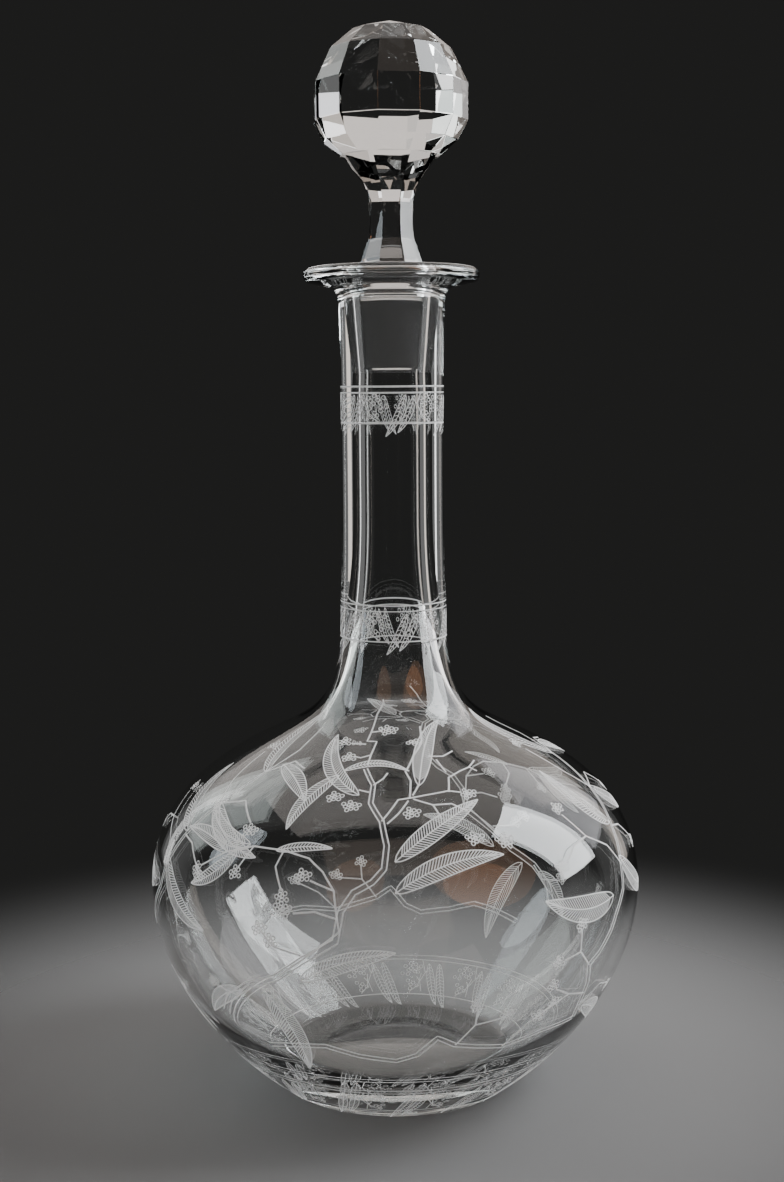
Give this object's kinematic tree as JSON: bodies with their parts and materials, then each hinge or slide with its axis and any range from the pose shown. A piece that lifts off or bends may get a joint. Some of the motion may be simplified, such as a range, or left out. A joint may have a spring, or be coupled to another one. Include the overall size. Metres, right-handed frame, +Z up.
{
  "type": "wine decanter",
  "caption": "Clear glass wine decanter with a globe body, long neck, wide lip and engraved vine decoration, closed by a faceted cut-glass ball stopper ground into the neck.",
  "frame": {"origin": "centre of the base, on the surface that the decanter stands on", "axes": "+Z up along the axis of the bottle and stopper; -Y faces the front of the engraved vine; +X is to its right"},
  "size_m": [0.141, 0.141, 0.3],
  "materials": {
    "bottle_glass": "clear fire-polished glass, faint grey-green where it is thick",
    "stopper_glass": "clear cut and polished glass with sharp facet edges",
    "engraving": "matte white wheel-engraved surface, frosted"
  },
  "bodies": {
    "bottle": {"bottle": "bottle_glass"},
    "stopper": {"stopper": "stopper_glass"}
  },
  "joints": [
    {"name": "stopper_lift", "type": "slide", "parent": "bottle", "child": "stopper", "axis": [0, 0, 1], "range_m": [0, 0.06]}
  ]
}
